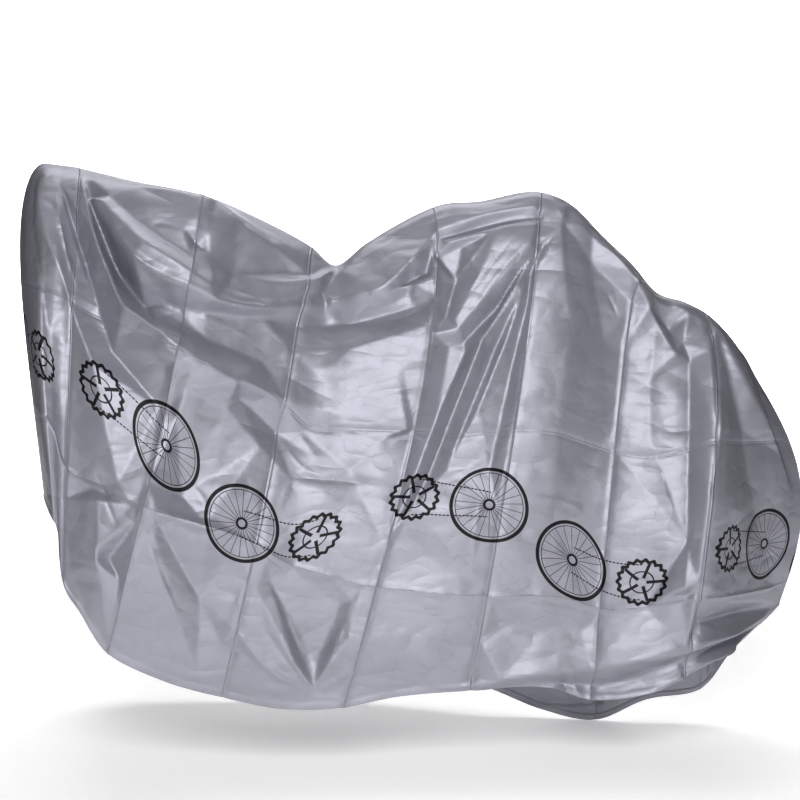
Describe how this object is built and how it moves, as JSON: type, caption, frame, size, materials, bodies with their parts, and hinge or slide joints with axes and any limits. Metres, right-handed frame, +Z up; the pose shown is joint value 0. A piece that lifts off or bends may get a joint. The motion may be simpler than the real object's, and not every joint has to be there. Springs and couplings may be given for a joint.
{
  "type": "bicycle cover",
  "caption": "Draped silver film cover with a high fore peak, a sag, an aft peak and a low rounded tail, open at the hem",
  "frame": {"origin": "under the film at the aft peak, where the cover is held up", "axes": "+X along the length towards the low tail, +Y away from the side that hangs higher, +Z up"},
  "size_m": [1.5632, 0.5795, 1.1646],
  "materials": {
    "silver_film": "satin silver film"
  },
  "bodies": {
    "root": {"cover": "silver_film"}
  },
  "joints": []
}
